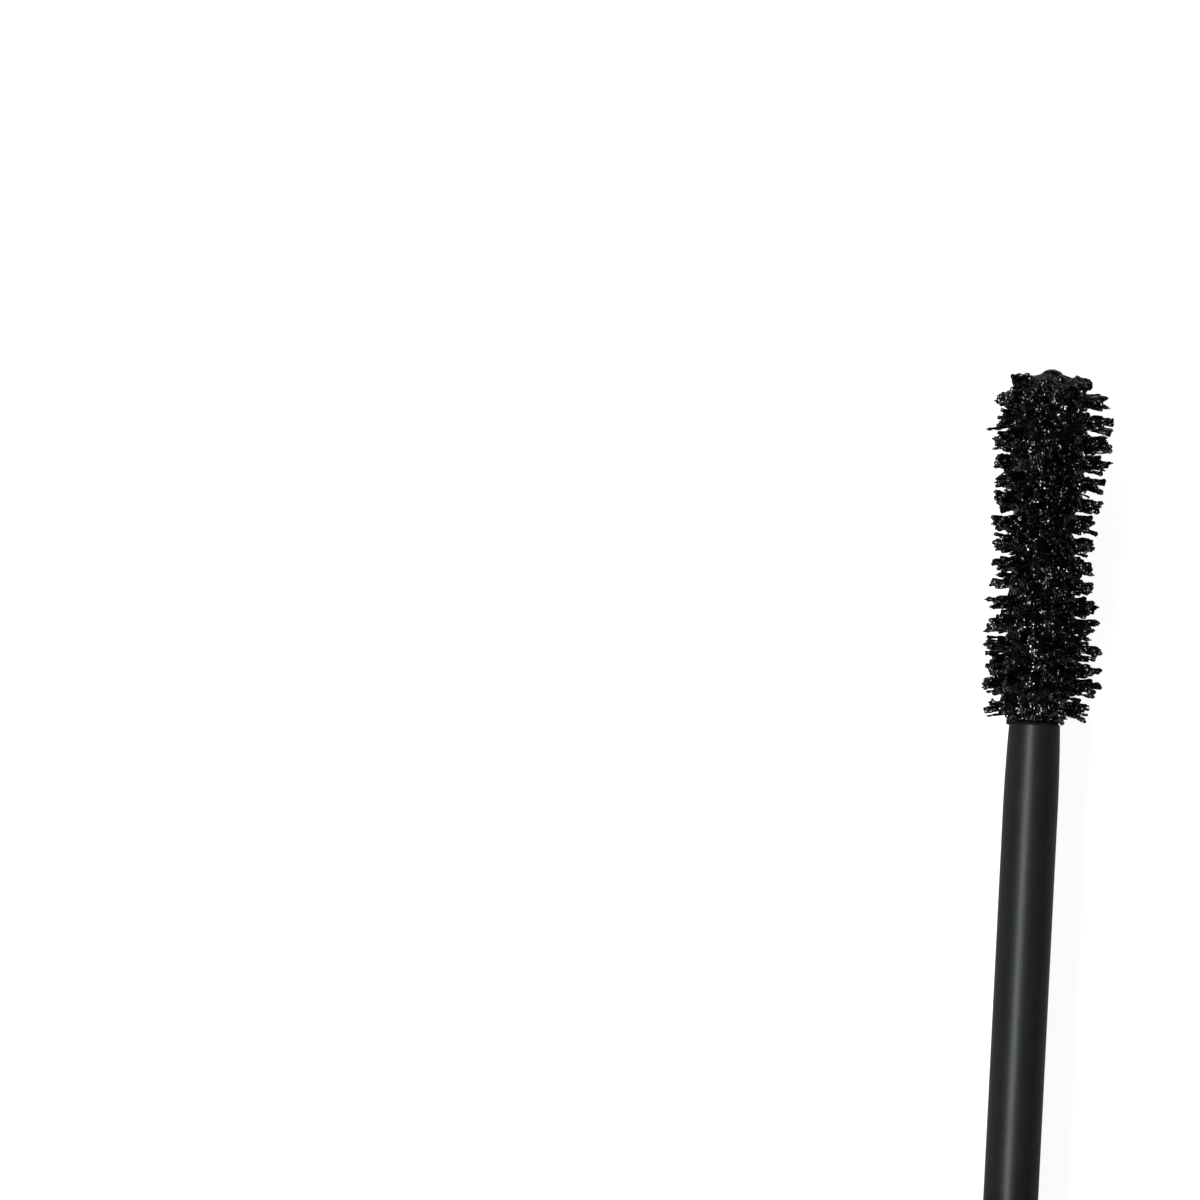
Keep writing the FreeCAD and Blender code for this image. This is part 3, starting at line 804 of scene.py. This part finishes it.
def make_brush():
    """The loaded brush as closed lengths of paste that lap each other, and the bare fibre ends as one mesh."""
    chance = random.Random(SEED)
    pastes = [Shape() for _ in range(SECTIONS)]
    fibres = Shape()
    add_tufts(pastes, fibres, chance)
    for number, paste in enumerate(pastes):
        add_core(paste, number, chance)
    add_fringe(pastes[-1], chance)
    paste_material = paste_finish()
    lumps = relief("paste_lumps", LUMP_SIZE, LUMP_RELIEF)
    grains = relief("paste_grains", GRAIN_SIZE, GRAIN_RELIEF)
    for number, paste in enumerate(pastes, 1):
        name = f"paste_section_{number}"
        data = with_modifiers(
            name,
            paste.mesh(name),
            ("REMESH", {"mode": "VOXEL", "voxel_size": VOXEL * MM, "adaptivity": 0.0}),
            ("SMOOTH", {"factor": SMOOTH_FACTOR, "iterations": SMOOTH_PASSES}),
            ("DISPLACE", lumps),
            ("DISPLACE", grains),
        )
        drop_crumbs(data)
        piece = add_piece(name, data, paste_material, "applicator")
        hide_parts("mascara_load")
    data = fibres.mesh("bristle_ends")
    piece = add_piece("bristle_ends", data, fibre_finish(), "applicator")
    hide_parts("bristles")


# The CAD pieces' finishes


def finish_nodes():
    soft_touch, liner = soft_touch_finish(), liner_finish()
    finishes = {
        "outer_sleeve": soft_touch,
        "base_plug": soft_touch,
        "cap_shell": soft_touch,
        "inner_cap": liner,
        "weight_retainer": liner,
        "shoulder_collar": collar_finish(),
        "cap_end_disc": disc_finish(),
        "stem": stem_finish(),
        "vial": vial_finish(),
        "wiper": wiper_finish(),
        "mascara_fill": bpy.data.materials["mascara_paste"],
        "seal_washer": foam_finish(),
        "base_label": label_finish(),
        "cap_weight": steel_finish("turned_steel", 0.6, 0.05),
        "twisted_wire": steel_finish("drawn_wire", 0.08, 12.0),
    }
    for name, material in finishes.items():
        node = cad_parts[name]
        if not node.material_slots:
            node.data.materials.append(None)
        for place in node.material_slots:
            place.material = material


# The stage


def make_floor():
    mesh = bpy.data.meshes.new("floor")
    form = bmesh.new()
    bmesh.ops.create_circle(form, cap_ends=True, segments=FLOOR_SIDES, radius=FLOOR_RADIUS_M)
    form.to_mesh(mesh)
    form.free()
    floor = bpy.data.objects.new("floor", mesh)
    bpy.context.scene.collection.objects.link(floor)
    floor.location.z = CAD_BOX[0].z - FLOOR_GAP * MM
    mesh.materials.append(floor_finish())


def softbox(name, place, size, radiance, tint):
    """A rectangular lamp of that radiance at a place in metres, turned to the brush."""
    light = bpy.data.lights.new(name, "AREA")
    light.shape = "RECTANGLE"
    light.size, light.size_y = size
    light.energy = radiance * math.pi * size[0] * size[1]
    light.color = tint
    lamp = bpy.data.objects.new(name, light)
    bpy.context.scene.collection.objects.link(lamp)
    lamp.location = place
    lamp.rotation_euler = (Vector(LIGHT_TARGET_M) - Vector(place)).to_track_quat("-Z", "Y").to_euler()


def make_world():
    """A dim studio above a pale horizon."""
    world = bpy.data.worlds.new("studio")
    bpy.context.scene.world = world
    world.use_nodes = True
    tree = world.node_tree
    background = tree.nodes["Background"]
    place = tree.nodes.new("ShaderNodeTexCoord")
    parts = tree.nodes.new("ShaderNodeSeparateXYZ")
    ramp = tree.nodes.new("ShaderNodeValToRGB")
    marks = ((HORIZON, HORIZON_HEIGHT), (STUDIO_DARK, STUDIO_DARK_HEIGHT))
    for element, (colour, height) in zip(ramp.color_ramp.elements, marks):
        element.color = (*colour, 1)
        element.position = height
    tree.links.new(place.outputs["Generated"], parts.inputs[0])
    tree.links.new(parts.outputs["Z"], ramp.inputs[0])
    tree.links.new(ramp.outputs[0], background.inputs["Color"])


def make_camera():
    roll = math.radians(VIEW_ROLL_DEG)
    right = Vector((math.cos(roll), math.sin(roll), 0))
    above = Vector((-math.sin(roll), math.cos(roll), 0))
    tip = Vector((0, TIP_Y, AXIS_Z))
    middle = tip - right * TIP_RIGHT_OF_MIDDLE - above * TIP_ABOVE_MIDDLE
    data = bpy.data.cameras.new("camera")
    data.sensor_width = SENSOR
    data.lens = SENSOR * VIEW_HEIGHT / VIEW_WIDTH
    camera = bpy.data.objects.new("camera", data)
    bpy.context.scene.collection.objects.link(camera)
    camera.location = (middle + Vector((0, 0, VIEW_HEIGHT))) * MM
    camera.rotation_euler = (0, 0, roll)
    data.clip_start, data.clip_end = CLIP_RANGE_M
    bpy.context.scene.camera = camera


bpy.context.scene.view_settings.view_transform = "Standard"
make_camera()
make_brush()
finish_nodes()
make_floor()
for lamp_name, lamp_values in LAMPS.items():
    softbox(lamp_name, *lamp_values)
make_world()
